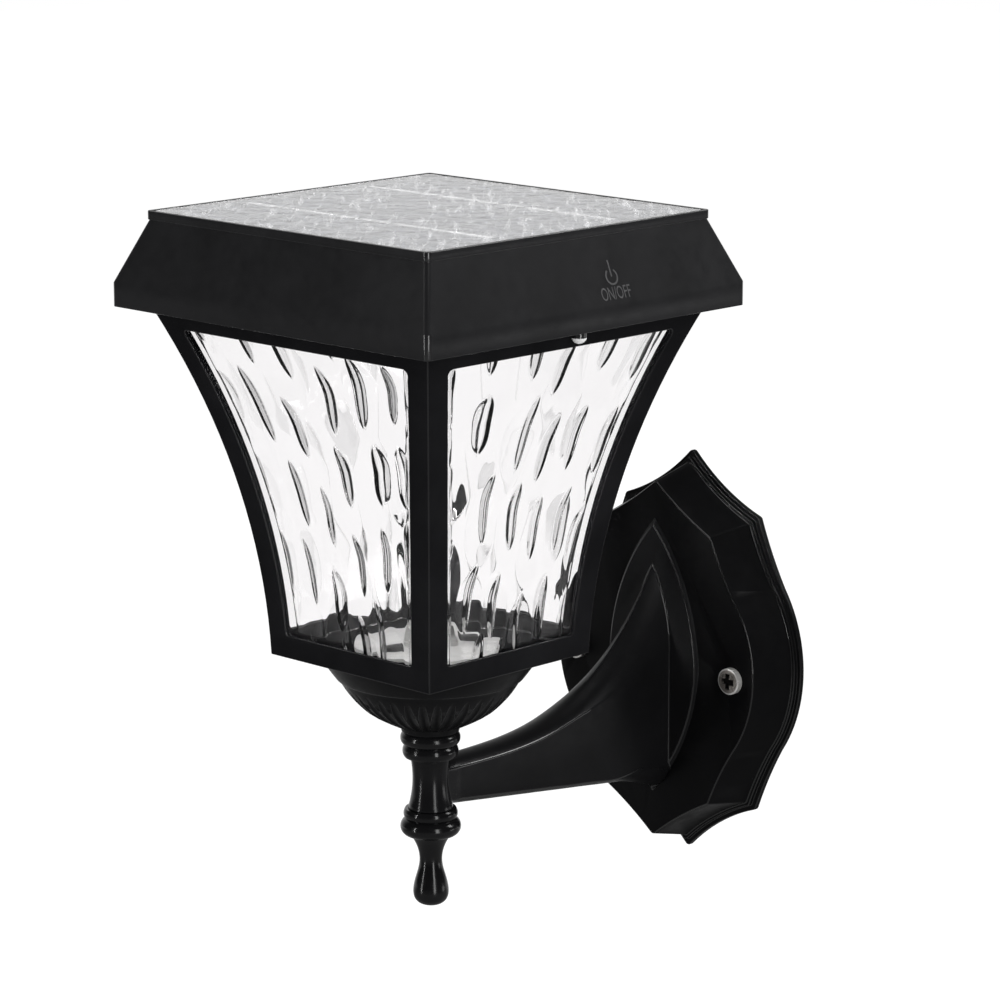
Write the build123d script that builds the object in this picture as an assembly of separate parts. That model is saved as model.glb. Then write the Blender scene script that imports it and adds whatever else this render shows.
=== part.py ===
"""Solar wall lantern: a square flared lantern on a bracket arm and a shaped wall plate.

Millimetres, +Z up. The origin is the middle of the wall plate's back face, on the wall.
The wall is the plane Y = 0, and the lantern stands out from it towards -Y.
"""

from build123d import *
from math import hypot, sqrt
import os

os.makedirs("parts", exist_ok=True)

# Layout
reach = 136.0  # wall to the lantern's axis
cap_top_z = 176.0  # middle of the wall plate up to the top of the cap
fit = 0.1  # clearance of pieces that are set into each other
screw_fit = 0.2  # clearance of a screw's shank in the piece that it clamps
thread_fit = 0.05  # clearance of a screw's shank in its pilot hole

# Cap
cap_width = 150.0
cap_slope_run = 8.4  # skirt's side out from the lip's side
lip_height = 3.0
lip_step = 0.4
slope_height = 21.2
skirt_height = 8.1
cap_corner = 1.8
cap_wall = 2.2
deck_thickness = 2.0
panel_rim = 1.4
deck_hole_r = 6.0
cap_screw_inset = 5.7
cap_boss_r = 3.8
cap_boss_height = 19.0

# Solar panel
panel_gasket_thickness = 0.8
panel_gasket_width = 5.0
panel_board_thickness = 1.2
panel_cover_thickness = 0.9
panel_sink = 0.1  # top of the cover below the top of the lip
cell_margin = 3.6
cell_gap = 1.0
cell_count = 4
cell_thickness = 0.25
ribbon_thickness = 0.1
ribbon_width = 2.2
ribbon_half_pitch = 28.5
ribbon_margin = 4.0

# Cap base
base_recess = 0.8
base_thickness = 2.0
frame_gasket_inset = 0.5

# Battery
battery_r = 9.2
battery_length = 65.0
battery_gap = 0.5  # holder beside the lamp board's boss
battery_play = 0.2
holder_floor = 1.5
holder_wall = 1.3
holder_end = 3.0
holder_height = 13.0
contact_thickness = 0.5
contact_width = 9.0
contact_bump_r = 2.5
contact_reach = 1.5  # end wall to battery, spanned by the contact
contact_foot = 3.0
contact_rise = 3.5

# Control board
board_length = 56.0
board_width = 30.0
board_thickness = 1.6
board_y = -14.0
board_post_r = 2.6
board_post_height = 4.0
board_screw_inset = 3.5
coil_r = 5.0
coil_height = 6.0
capacitor_r = 4.0
capacitor_height = 8.0
part_row_x = -14.0
part_pitch = 12.0
chip_length = 6.0
chip_width = 5.0
chip_height = 1.6
chip_x = 6.0

# Lamp
led_board_r = 32.0
led_board_thickness = 1.2
led_count = 16
led_ring_r = 21.0
led_length = 3.5
led_width = 2.8
led_height = 0.7
led_screw_offset = 28.0
led_boss_r = 2.8
led_boss_height = 3.5
led_rim_width = 1.9
led_rim_height = 3.0
diffuser_wall = 1.6
diffuser_depth = 8.5
diffuser_edge = 3.0
led_lead_x = 14.0
led_lead_y = 8.0
led_lead_hole_r = 2.4

# Switch
button_inset = 6.0  # axis of the button in from the skirt's side
button_r = 2.5
button_guide = 0.15
button_drop = 4.5  # tip of the button below the cap's skirt
button_dome = 1.8
button_flange = 0.8
button_flange_thickness = 0.8
button_rest = 0.1
button_travel = 1.0
spring_height = 3.0
spring_r = 1.8
spring_wire_r = 0.2
spring_turns = 3
plunger_r = 1.1
plunger_guide = 0.15
plunger_engage = 0.8
switch_length = 6.0
switch_width = 7.0
switch_height = 3.0
switch_shift = 0.4  # switch housing towards the lantern's axis
cradle_wall = 1.5
cradle_length = 5.0
cradle_ledge = 1.2
cradle_ledge_thickness = 1.0

# Lantern frame
cap_overhang = 9.2  # skirt's side out from the top of the lantern frame
body_bottom_width = 76.8
body_height = 120.4
flare_radius = 327.3
frame_wall = 1.6
frame_floor = 2.5
post_width = 8.6
top_rail = 7.0
bottom_rail = 8.0
window_corner = 1.6
tab_thickness = 2.5
tab_size = 16.0
frame_screw_inset = 12.3
frame_boss_r = 2.6
frame_boss_length = 8.0

# Windows
window_thickness = 2.0
window_lap = 3.0
window_top_gap = 0.3

# Lantern floor
reflector_r = 24.0
reflector_thickness = 1.2
reflector_screw_offset = 15.0

# Bowl
bowl_height = 26.9
bowl_rim_r = 37.6
bowl_band_height = 7.4
bowl_band_r = 32.3
bowl_band_bulge = 0.1
bowl_step = 0.9
bowl_step_height = 0.3
bowl_foot_r = 13.0
bowl_foot_height = 2.5
bowl_bulge = 2.2
bowl_neck_r = 10.2
bowl_neck_foot_r = 10.0
bowl_wall = 2.6
bowl_floor = 4.0
bowl_boss_r = 3.6
flute_count = 36
flute_r = 2.2
flute_depth = 0.9
flute_foot_depth = 0.35
flute_start = 0.4  # cutter clear of the bowl above the flute's top
flute_run_out = 1.5  # cutter past the bowl's foot

# Stem
rod_r = 3.0
rod_above_nut = 1.8
rod_in_finial = 9.2
nut_flats = 10.0
nut_height = 5.0
washer_r = 6.5
washer_thickness = 1.2
collar_height = 9.3
collar_top_bead_r = 10.4
collar_top_bead_height = 5.0
collar_low_bead_r = 9.7
collar_groove_r = 8.9
hub_height = 18.4
hub_top_r = 7.0
hub_foot_r = 7.9
hub_waist = 1.15
finial_height = 34.9
finial_top_bead_r = 9.4
finial_top_bead_height = 3.5
finial_low_bead_r = 10.5
finial_low_bead_height = 6.2
finial_groove_r = 8.8
finial_shoulder_r = 7.0
finial_neck_r = 3.95
finial_neck_drop = 9.5
finial_drop_r = 6.05
finial_drop_drop = 18.5
finial_shoulder_lean = (-0.6, -0.8)  # direction of the outline where it leaves the low bead

# Arm
arm_hub_half_width = 5.3
arm_root_half_width = 8.6
arm_drop = 1.2  # top of the arm at the lantern's axis below the hub's top
arm_rise = 51.8  # top of the arm at the plate above its top at the hub
arm_sweep_power = 3.7
arm_bottom_rise = 0.7  # bottom of the arm at the lantern's axis above the hub's foot
arm_bottom_slope = 0.115
arm_bottom_flare = 4.3
arm_bottom_flare_length = 28.0
arm_bevel = 3.5
arm_root_bevel = 31.7
arm_bevel_spread = 54.0
arm_belly = 2.5
arm_root_belly = 10.0
arm_fullness = 0.27
arm_section_count = 13
pad_top = 53.0
pad_bottom = 50.0
pad_half_width = 22.0
pad_bulge = 5.0
pad_thickness = 1.2
pad_edge = 1.4
arm_core_wall = 3.0
arm_core_top = 6.0
arm_core_bottom = -27.0
arm_core_length = 70.0
arm_core_tip_width = 5.0
arm_core_tip_height = 8.0
arm_core_tip_z = -24.0
arm_screw_top_z = 15.0
arm_screw_low_z = -34.0
arm_screw_length = 14.0

# Wall plate
plate_height = 150.6
plate_width = 105.6
plate_depth = 21.7
plate_wall = 2.6
plate_corner = 1.6
shoulder_x = 32.3
shoulder_z = 54.4
bulge_x = 43.6
bulge_z = 30.0
crown_sag = -2.3
waist_sag = -0.6
crown_draw = 0.25  # how far each sag and corner draws in for each millimetre of inset
apex_draw = 1.62
shoulder_draw_x = 1.04
shoulder_draw_z = 0.95
bulge_draw_x = 1.05
bulge_draw_z = 0.36
rim_thickness = 2.0
rim_step_thickness = 1.6
rim_step_inset = 1.65
wall_inset = 2.7
face_inset = 5.5
plate_boss_r = 5.2
wall_screw_half_pitch = 37.5
wall_screw_z = -1.1

# Screws
wall_screw_r = 2.4
wall_screw_neck_r = 2.1
wall_screw_head_r = 4.75
wall_screw_head_height = 3.1
wall_screw_in_wall = 12.0
large_screw_r = 1.75
large_screw_head_r = 3.6
large_screw_head_height = 2.4
screw_r = 1.4
screw_head_r = 2.6
screw_head_height = 1.9
screw_bite = 7.0
small_screw_r = 1.1
small_screw_head_r = 2.1
small_screw_head_height = 1.4
crown_share = 0.32  # domed part of a head's height
recess_share = 0.62  # cross recess against the head's width and height
recess_width_share = 0.24

# Wiring
lead_r = 0.6
lead_bend = 2.4
lead_half_pitch = 1.5
lead_rise = 4.0
lead_gap = 0.05

# Levels from the top down
deck_top_z = cap_top_z - panel_sink - panel_cover_thickness - panel_board_thickness - panel_gasket_thickness
deck_bottom_z = deck_top_z - deck_thickness
slope_top_z = cap_top_z - lip_height
skirt_top_z = slope_top_z - slope_height
skirt_bottom_z = skirt_top_z - skirt_height
base_bottom_z = skirt_bottom_z + base_recess
base_top_z = base_bottom_z + base_thickness
body_top_z = skirt_bottom_z
body_bottom_z = body_top_z - body_height
floor_top_z = body_bottom_z + frame_floor
reflector_top_z = floor_top_z + reflector_thickness
collar_top_z = body_bottom_z - bowl_height
hub_top_z = collar_top_z - collar_height
finial_top_z = hub_top_z - hub_height
finial_tip_z = finial_top_z - finial_height
rod_hole_r = rod_r + screw_fit

# Places shared by several pieces
cap_top_width = cap_width - 2 * cap_slope_run
body_top_width = cap_width - 2 * cap_overhang
button_x = cap_width / 2 - button_inset
holder_width = 2 * (battery_r + battery_play + holder_wall)
battery_y = led_screw_offset + led_boss_r + battery_gap + holder_width / 2
cap_screw_xy = cap_width / 2 - cap_screw_inset
frame_screw_xy = body_top_width / 2 - frame_screw_inset
window_top_z = body_top_z - tab_thickness - window_top_gap
board_bottom_z = base_top_z + board_post_height
board_top_z = board_bottom_z + board_thickness
board_screw_x = board_length / 2 - board_screw_inset
board_screw_y = board_width / 2 - board_screw_inset
led_rim_r = led_board_r + fit + led_rim_width
battery_z = base_top_z + holder_floor + battery_play + battery_r
holder_inner = battery_length + 2 * contact_reach
flange_bottom_z = base_top_z + button_rest
flange_top_z = flange_bottom_z + button_flange_thickness
switch_bottom_z = flange_top_z + spring_height
switch_top_z = switch_bottom_z + switch_height


def bowed(start, end, bulge):
    """Edge between two points of a clockwise outline; a bulge bows it outwards."""
    if bulge == 0:
        return Line(start, end)
    run = (end[0] - start[0], end[1] - start[1])
    lift = bulge / hypot(*run)
    middle = ((start[0] + end[0]) / 2 - run[1] * lift, (start[1] + end[1]) / 2 + run[0] * lift)
    return ThreePointArc(start, middle, end)


def loop(*corners):
    """Closed outline through corners (x, y, bulge), taken clockwise."""
    sides = zip(corners, corners[1:] + corners[:1])
    return make_face(Curve() + [bowed(here[:2], there[:2], here[2]) for here, there in sides])


def turned(*corners):
    """Solid of revolution about the vertical axis, from a half outline (radius, z, bulge)."""
    return revolve(Plane.XZ * loop(*corners), axis=Axis.Z)


def square(width, corner=0.0):
    """Square sketch, with rounded corners where a radius is given."""
    if corner > 0:
        return RectangleRounded(width, width, corner)
    return Rectangle(width, width)


def block(width, depth, z_low, z_high, x=0.0, y=0.0):
    """Upright box between two levels."""
    return Pos(x, y, (z_low + z_high) / 2) * Box(width, depth, z_high - z_low)


def post(radius, z_low, z_high, x=0.0, y=0.0):
    """Upright cylinder between two levels."""
    return Pos(x, y, (z_low + z_high) / 2) * Cylinder(radius, z_high - z_low)


def corners_at(offset):
    """The four corner places of a square pattern."""
    return [(x, y) for x in (-offset, offset) for y in (-offset, offset)]


def dome_bulge(radius, height):
    """Bulge of the half outline of a round dome, from its rim to its top."""
    ball_r = (radius**2 + height**2) / (2 * height)
    return ball_r - sqrt(ball_r**2 - (radius**2 + height**2) / 4)


def screw(shank_r, head_r, head_height, length, neck_r=0.0, neck_length=0.0):
    """Pan-head screw with a cross recess, standing head up with the head's seat at the origin.

    A neck is a thinner plain stretch under the head.
    """
    crown_height = head_height * crown_share
    head = [
        (0, head_height, dome_bulge(head_r, crown_height)),
        (head_r, head_height - crown_height, 0),
        (head_r, 0, 0),
    ]
    neck = [(neck_r, 0, 0), (neck_r, -neck_length, 0)] if neck_length > 0 else []
    shank = [(shank_r, -neck_length, 0), (shank_r, shank_r - length, 0), (0, -length, 0)]
    blank = turned(*head, *neck, *shank)
    slot_length = 2 * head_r * recess_share
    slot_width = 2 * head_r * recess_width_share
    slot_floor = head_height * (1 - recess_share)
    recess = block(slot_length, slot_width, slot_floor, head_height) + block(
        slot_width, slot_length, slot_floor, head_height
    )
    return blank - recess


def lead(points):
    """One insulated wire along a path of straight runs and bends."""
    path = FilletPolyline(*points, radius=lead_bend)
    return sweep(Plane(path @ 0, z_dir=path % 0) * Circle(lead_r), path=path)


def together(pieces):
    """Separate solids that share one node."""
    return Compound([solid for piece in pieces for solid in piece.solids()])


# Lantern flare: every vertical face of the lantern is an arc about one centre, outside the lantern
flare_run = (body_top_width - body_bottom_width) / 2
flare_chord = hypot(flare_run, body_height)
flare_back = sqrt(flare_radius**2 - (flare_chord / 2) ** 2)
flare_x = (body_top_width + body_bottom_width) / 4 + flare_back * body_height / flare_chord
flare_z = (body_top_z + body_bottom_z) / 2 - flare_back * flare_run / flare_chord


def half_width(z, inset=0.0):
    """Half the lantern's width at a level, measured to a face set in by inset."""
    return flare_x - sqrt((flare_radius + inset) ** 2 - (z - flare_z) ** 2)


def flare_profile(inset, z_low, z_high, corner=0.0):
    """Front outline of the lantern between two levels, set in by inset on both sides."""
    z_middle = (z_low + z_high) / 2
    low = half_width(z_low, inset)
    middle = half_width(z_middle, inset)
    high = half_width(z_high, inset)
    face = make_face(
        Curve()
        + [
            ThreePointArc((low, z_low), (middle, z_middle), (high, z_high)),
            Line((high, z_high), (-high, z_high)),
            ThreePointArc((-high, z_high), (-middle, z_middle), (-low, z_low)),
            Line((-low, z_low), (low, z_low)),
        ]
    )
    if corner > 0:
        face = fillet(face.vertices(), corner)
    return Plane.XZ * face


def flare_wall(inset, z_low, z_high, corner=0.0):
    """The flared outline carried right through the lantern from front to back."""
    return extrude(flare_profile(inset, z_low, z_high, corner), amount=cap_width, both=True)


def flare_solid(inset, z_low, z_high):
    """Solid of square section whose four faces follow the flare."""
    wall = flare_wall(inset, z_low, z_high)
    return wall & (Rot(0, 0, 90) * wall)


def cap_outside():
    """Outer form of the cap: lip, sloping sides and upright skirt."""
    lip = Pos(0, 0, slope_top_z) * extrude(square(cap_top_width, cap_corner), lip_height)
    slope = loft(
        [
            Pos(0, 0, skirt_top_z) * square(cap_width, cap_corner),
            Pos(0, 0, slope_top_z) * square(cap_top_width - 2 * lip_step, cap_corner),
        ]
    )
    skirt = Pos(0, 0, skirt_bottom_z) * extrude(square(cap_width, cap_corner), skirt_height)
    return lip + slope + skirt


def slope_width(z):
    """Width of the sloping sides at a level."""
    share = (slope_top_z - z) / slope_height
    top = cap_top_width - 2 * lip_step
    return top + (cap_width - top) * share


def make_cap_shell():
    outside = cap_outside()
    inner_width = cap_width - 2 * cap_wall
    hollow = loft(
        [
            Pos(0, 0, skirt_top_z) * square(inner_width),
            Pos(0, 0, deck_bottom_z) * square(slope_width(deck_bottom_z) - 2 * cap_wall),
        ]
    )
    hollow += block(inner_width, inner_width, skirt_bottom_z, skirt_top_z)
    recess = Pos(0, 0, deck_top_z) * extrude(square(cap_top_width - 2 * panel_rim), cap_top_z - deck_top_z)
    shell = outside - hollow - recess - post(deck_hole_r, deck_bottom_z, deck_top_z, 0, board_y)
    for x, y in corners_at(cap_screw_xy):
        shell += post(cap_boss_r, base_top_z, base_top_z + cap_boss_height, x, y) & outside
    for x, y in corners_at(cap_screw_xy):
        shell -= post(screw_r + thread_fit, base_top_z, base_top_z + screw_bite + fit, x, y)
    return shell


def make_panel():
    """Backing board, cells, ribbons, cover and gasket of the solar panel, from the deck up."""
    panel_width = cap_top_width - 2 * panel_rim - 2 * fit
    board_low = deck_top_z + panel_gasket_thickness
    board_high = board_low + panel_board_thickness
    cover_high = board_high + panel_cover_thickness
    gasket = block(panel_width, panel_width, deck_top_z, board_low)
    gasket_hole = panel_width - 2 * panel_gasket_width
    gasket -= block(gasket_hole, gasket_hole, deck_top_z, board_low)
    board = block(panel_width, panel_width, board_low, board_high)

    field = panel_width - 2 * cell_margin
    cell_length = (field - (cell_count - 1) * cell_gap) / cell_count
    cell_high = board_high + cell_thickness
    cells = []
    for index in range(cell_count):
        x = (index - (cell_count - 1) / 2) * (cell_length + cell_gap)
        cells.append(block(cell_length, field, board_high, cell_high, x))
    ribbon_length = field - 2 * ribbon_margin
    ribbon_high = cell_high + ribbon_thickness
    ribbons = []
    for y in (-ribbon_half_pitch, ribbon_half_pitch):
        ribbons.append(block(ribbon_length, ribbon_width, cell_high, ribbon_high, 0, y))

    cover = block(panel_width, panel_width, board_high, cover_high)
    cover -= block(field, field, board_high, ribbon_high)
    return board, together(cells), together(ribbons), cover, gasket


def make_cap_base():
    plate_width_inside = cap_width - 2 * cap_wall - 2 * fit
    base = block(plate_width_inside, plate_width_inside, base_bottom_z, base_top_z)
    for x in (-board_screw_x, board_screw_x):
        for y in (board_y - board_screw_y, board_y + board_screw_y):
            base += post(board_post_r, base_top_z, board_bottom_z, x, y)
            base -= post(small_screw_r + thread_fit, base_top_z, board_bottom_z, x, y)
    rim = post(led_rim_r, base_bottom_z - led_rim_height, base_bottom_z)
    base += rim - post(led_board_r + fit, base_bottom_z - led_rim_height, base_bottom_z)
    for y in (-led_screw_offset, led_screw_offset):
        base += post(led_boss_r, base_top_z, base_top_z + led_boss_height, 0, y)
        base -= post(small_screw_r + thread_fit, base_bottom_z, base_top_z + led_boss_height, 0, y)

    ledge_low_z = switch_bottom_z - cradle_ledge_thickness
    for side in (-1, 1):
        wall_y = side * (switch_width / 2 + fit + cradle_wall / 2)
        ledge_y = side * (switch_width / 2 + fit - cradle_ledge / 2)
        x = button_x - switch_shift
        base += block(cradle_length, cradle_wall, base_top_z, switch_top_z, x, wall_y)
        base += block(cradle_length, cradle_ledge, ledge_low_z, switch_bottom_z, x, ledge_y)
    base -= post(button_r + button_guide, base_bottom_z, base_top_z, button_x)

    for x, y in corners_at(cap_screw_xy):
        base -= post(screw_r + screw_fit, base_bottom_z, base_top_z, x, y)
    for x, y in corners_at(frame_screw_xy):
        base -= post(screw_r + screw_fit, base_bottom_z, base_top_z, x, y)
    return base - post(led_lead_hole_r, base_bottom_z, base_top_z, led_lead_x, led_lead_y)


def make_cap_screws():
    up = screw(screw_r, screw_head_r, screw_head_height, base_thickness + screw_bite)
    return together([Pos(x, y, base_bottom_z) * Rot(180, 0, 0) * up for x, y in corners_at(cap_screw_xy)])


def make_frame_screws():
    length = base_thickness + base_recess + frame_boss_length - fit
    down = screw(screw_r, screw_head_r, screw_head_height, length)
    return together([Pos(x, y, base_top_z) * down for x, y in corners_at(frame_screw_xy)])


def make_battery():
    cell = Pos(0, battery_y, battery_z) * Rot(0, 90, 0) * Cylinder(battery_r, battery_length)
    return fillet(cell.edges().filter_by(GeomType.CIRCLE), holder_wall / 2)


def make_battery_holder():
    length = holder_inner + 2 * holder_end
    holder = block(length, holder_width, base_top_z, base_top_z + holder_height, 0, battery_y)
    trough_r = battery_r + battery_play
    trough = Pos(0, battery_y, battery_z) * Rot(0, 90, 0) * Cylinder(trough_r, holder_inner)
    return holder - trough - block(holder_inner, 2 * trough_r, battery_z, battery_z + battery_r, 0, battery_y)


def make_battery_contacts():
    low = base_top_z + holder_floor + contact_foot
    high = base_top_z + holder_height + contact_rise
    contacts = []
    for side in (-1, 1):
        plate_x = side * (holder_inner / 2 - contact_thickness / 2)
        plate = block(contact_thickness, contact_width, low, high, plate_x, battery_y)
        bump_length = contact_reach - contact_thickness
        bump_x = side * (battery_length / 2 + bump_length / 2)
        bump = Pos(bump_x, battery_y, battery_z) * Rot(0, 90, 0) * Cylinder(contact_bump_r, bump_length)
        contacts.append(plate + bump)
    return together(contacts)


def board_screw_places():
    return [
        (x, y)
        for x in (-board_screw_x, board_screw_x)
        for y in (board_y - board_screw_y, board_y + board_screw_y)
    ]


def make_control_board():
    board = block(board_length, board_width, board_bottom_z, board_top_z, 0, board_y)
    for x, y in board_screw_places():
        board -= post(small_screw_r + screw_fit, board_bottom_z, board_top_z, x, y)
    return board


def make_board_parts():
    near_y = board_y - part_pitch / 2
    far_y = board_y + part_pitch / 2
    coil = post(coil_r, board_top_z, board_top_z + coil_height, part_row_x, near_y)
    capacitor = post(capacitor_r, board_top_z, board_top_z + capacitor_height, part_row_x, far_y)
    capacitor = fillet(capacitor.edges().group_by(Axis.Z)[-1], capacitor_r / 5)
    chip = block(chip_length, chip_width, board_top_z, board_top_z + chip_height, chip_x, near_y)
    return together([coil, capacitor, chip])


def make_board_screws():
    length = board_thickness + board_post_height - fit
    down = screw(small_screw_r, small_screw_head_r, small_screw_head_height, length)
    return together([Pos(x, y, board_top_z) * down for x, y in board_screw_places()])


def make_led_board():
    board = post(led_board_r, base_bottom_z - led_board_thickness, base_bottom_z)
    for y in (-led_screw_offset, led_screw_offset):
        board -= post(small_screw_r + screw_fit, base_bottom_z - led_board_thickness, base_bottom_z, 0, y)
    return board


def make_leds():
    high = base_bottom_z - led_board_thickness
    chip = Pos(led_ring_r, 0, high - led_height / 2) * Box(led_length, led_width, led_height)
    return together([Rot(0, 0, (index + 0.5) * 360 / led_count) * chip for index in range(led_count)])


def make_led_screws():
    length = led_board_thickness + base_thickness + led_boss_height - fit
    up = screw(small_screw_r, small_screw_head_r, small_screw_head_height, length)
    seat_z = base_bottom_z - led_board_thickness
    return together([Pos(0, y, seat_z) * Rot(180, 0, 0) * up for y in (-led_screw_offset, led_screw_offset)])


def make_led_diffuser():
    inner_r = led_rim_r + fit
    outer_r = inner_r + diffuser_wall
    low = base_bottom_z - diffuser_depth
    cup = fillet(post(outer_r, low, base_bottom_z).edges().group_by(Axis.Z)[0], diffuser_edge)
    hollow = post(inner_r, low + diffuser_wall, base_bottom_z)
    hollow = fillet(hollow.edges().group_by(Axis.Z)[0], diffuser_edge - diffuser_wall)
    return cup - hollow


def make_push_button():
    tip_z = skirt_bottom_z - button_drop
    return Pos(button_x, 0, 0) * turned(
        (0, flange_top_z, 0),
        (button_r + button_flange, flange_top_z, 0),
        (button_r + button_flange, flange_bottom_z, 0),
        (button_r, flange_bottom_z, 0),
        (button_r, tip_z + button_dome, dome_bulge(button_r, button_dome)),
        (0, tip_z, 0),
    )


def make_switch_plunger():
    return post(plunger_r, flange_top_z, switch_bottom_z + plunger_engage, button_x)


def make_switch_body():
    body = block(switch_length, switch_width, switch_bottom_z, switch_top_z, button_x - switch_shift)
    bore_high = switch_bottom_z + plunger_engage + button_travel + plunger_guide
    return body - post(plunger_r + plunger_guide, switch_bottom_z, bore_high, button_x)


def make_return_spring():
    """Coil between the button's flange and the switch, whose two ends stand clear of both."""
    low = flange_top_z + spring_wire_r + fit
    climb = spring_height - 2 * (spring_wire_r + fit)
    path = Pos(button_x, 0, low) * Helix(climb / spring_turns, climb, spring_r)
    return sweep(Plane(path @ 0, z_dir=path % 0) * Circle(spring_wire_r), path=path, is_frenet=True)


def make_lantern_frame():
    outside = flare_solid(0, body_bottom_z, body_top_z)
    frame = outside - flare_solid(frame_wall, floor_top_z, body_top_z)
    opening = flare_wall(post_width, body_bottom_z + bottom_rail, body_top_z - top_rail, window_corner)
    frame -= opening
    frame -= Rot(0, 0, 90) * opening

    tab_low_z = body_top_z - tab_thickness
    core = flare_solid(frame_wall / 2, body_bottom_z, body_top_z)
    tab_xy = (body_top_width - tab_size) / 2
    for x, y in corners_at(tab_xy):
        frame += block(tab_size, tab_size, tab_low_z, body_top_z, x, y) & core
    for x, y in corners_at(frame_screw_xy):
        frame += post(frame_boss_r, body_top_z - frame_boss_length, body_top_z, x, y)
    for x, y in corners_at(frame_screw_xy):
        frame -= post(screw_r + thread_fit, body_top_z - frame_boss_length, body_top_z, x, y)
    frame -= post(rod_hole_r, body_bottom_z, floor_top_z)
    for y in (-reflector_screw_offset, reflector_screw_offset):
        frame -= post(screw_r + screw_fit, body_bottom_z, floor_top_z, 0, y)
    return frame


def make_frame_gasket():
    outer = body_top_width - 2 * frame_gasket_inset
    inner = body_top_width - 2 * frame_wall
    return block(outer, outer, body_top_z, base_bottom_z) - block(inner, inner, body_top_z, base_bottom_z)


def make_window(turn):
    """One bent pane behind a window opening; the front pane faces -Y and the others are turned copies."""
    low = floor_top_z + fit
    outer = Rot(0, 0, 90) * flare_wall(frame_wall + fit, low, window_top_z)
    inner = Rot(0, 0, 90) * flare_wall(frame_wall + fit + window_thickness, low, window_top_z)
    width = flare_wall(post_width - window_lap, low, window_top_z)
    front = Pos(0, -cap_width / 2, cap_top_z / 2) * Box(2 * cap_width, cap_width, 2 * cap_top_z)
    return Rot(0, 0, turn) * ((outer - inner) & width & front)


def make_reflector():
    disc = post(reflector_r, floor_top_z, reflector_top_z) - post(rod_hole_r, floor_top_z, reflector_top_z)
    for y in (-reflector_screw_offset, reflector_screw_offset):
        disc -= post(screw_r + screw_fit, floor_top_z, reflector_top_z, 0, y)
    return disc


def make_reflector_screws():
    length = reflector_thickness + frame_floor + screw_bite
    down = screw(screw_r, screw_head_r, screw_head_height, length)
    places = (-reflector_screw_offset, reflector_screw_offset)
    return together([Pos(0, y, reflector_top_z) * down for y in places])


def make_bowl():
    band_z = body_bottom_z - bowl_band_height
    flute_top_z = band_z - bowl_step_height
    flute_top_r = bowl_band_r - bowl_step
    foot_z = collar_top_z + bowl_foot_height
    outside = turned(
        (0, body_bottom_z, 0),
        (bowl_rim_r, body_bottom_z, bowl_band_bulge),
        (bowl_band_r, band_z, 0),
        (flute_top_r, flute_top_z, bowl_bulge),
        (bowl_foot_r, foot_z, 0),
        (bowl_neck_r, foot_z, 0),
        (bowl_neck_foot_r, collar_top_z, 0),
        (0, collar_top_z, 0),
    )
    hollow = turned(
        (0, body_bottom_z, 0),
        (bowl_rim_r - bowl_wall, body_bottom_z, bowl_band_bulge),
        (flute_top_r - bowl_wall, flute_top_z, bowl_bulge),
        (bowl_neck_r - bowl_wall, foot_z + bowl_floor, 0),
        (0, foot_z + bowl_floor, 0),
    )
    bowl = outside - hollow
    bowl += post(rod_hole_r + bowl_wall, collar_top_z, body_bottom_z)
    for y in (-reflector_screw_offset, reflector_screw_offset):
        bowl += post(bowl_boss_r, foot_z, body_bottom_z, 0, y) & outside
    bowl -= post(rod_hole_r, collar_top_z, body_bottom_z)
    for y in (-reflector_screw_offset, reflector_screw_offset):
        bowl -= post(screw_r + thread_fit, body_bottom_z - screw_bite - fit, body_bottom_z, 0, y)

    skin = bowed((flute_top_r, flute_top_z), (bowl_foot_r, foot_z), bowl_bulge)

    def above(share, lift, ahead=0.0):
        along = skin % share
        return skin @ share + Vector(-along.Y, along.X) * lift + along * ahead

    path = Plane.XZ * ThreePointArc(
        above(0, flute_r + flute_start),
        above(0.5, flute_r - flute_depth),
        above(1, flute_r - flute_foot_depth, flute_run_out),
    )
    flute = sweep(Plane(path @ 0, z_dir=path % 0) * Circle(flute_r), path=path)
    return bowl - [Rot(0, 0, index * 360 / flute_count) * flute for index in range(flute_count)]


def make_collar():
    split_z = collar_top_z - collar_top_bead_height
    top_bulge = collar_top_bead_r - collar_groove_r
    low_bulge = collar_low_bead_r - collar_groove_r
    return turned(
        (rod_hole_r, collar_top_z, 0),
        (collar_groove_r, collar_top_z, top_bulge),
        (collar_groove_r, split_z, low_bulge),
        (collar_groove_r, hub_top_z, 0),
        (rod_hole_r, hub_top_z, 0),
    )


def make_finial():
    split_z = finial_top_z - finial_top_bead_height
    shoulder_z_low = split_z - finial_low_bead_height
    outline = Spline(
        (finial_shoulder_r, shoulder_z_low),
        (finial_neck_r, shoulder_z_low - finial_neck_drop),
        (finial_drop_r, shoulder_z_low - finial_drop_drop),
        (0, finial_tip_z),
        tangents=[finial_shoulder_lean, (-1, 0)],
    )
    edges = [
        Line((0, finial_top_z), (finial_groove_r, finial_top_z)),
        ThreePointArc(
            (finial_groove_r, finial_top_z),
            (finial_top_bead_r, (finial_top_z + split_z) / 2),
            (finial_groove_r, split_z),
        ),
        ThreePointArc(
            (finial_groove_r, split_z),
            (finial_low_bead_r, (split_z + shoulder_z_low) / 2),
            (finial_shoulder_r, shoulder_z_low),
        ),
        outline,
        Line((0, finial_tip_z), (0, finial_top_z)),
    ]
    body = revolve(Plane.XZ * make_face(Curve() + edges), axis=Axis.Z)
    return body - post(rod_r + fit, finial_top_z - rod_in_finial - fit, finial_top_z)


def make_tie_rod():
    top = reflector_top_z + washer_thickness + nut_height + rod_above_nut
    rod = post(rod_r, finial_top_z - rod_in_finial, top)
    return chamfer(rod.edges().filter_by(GeomType.CIRCLE), rod_r / 5)


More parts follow.
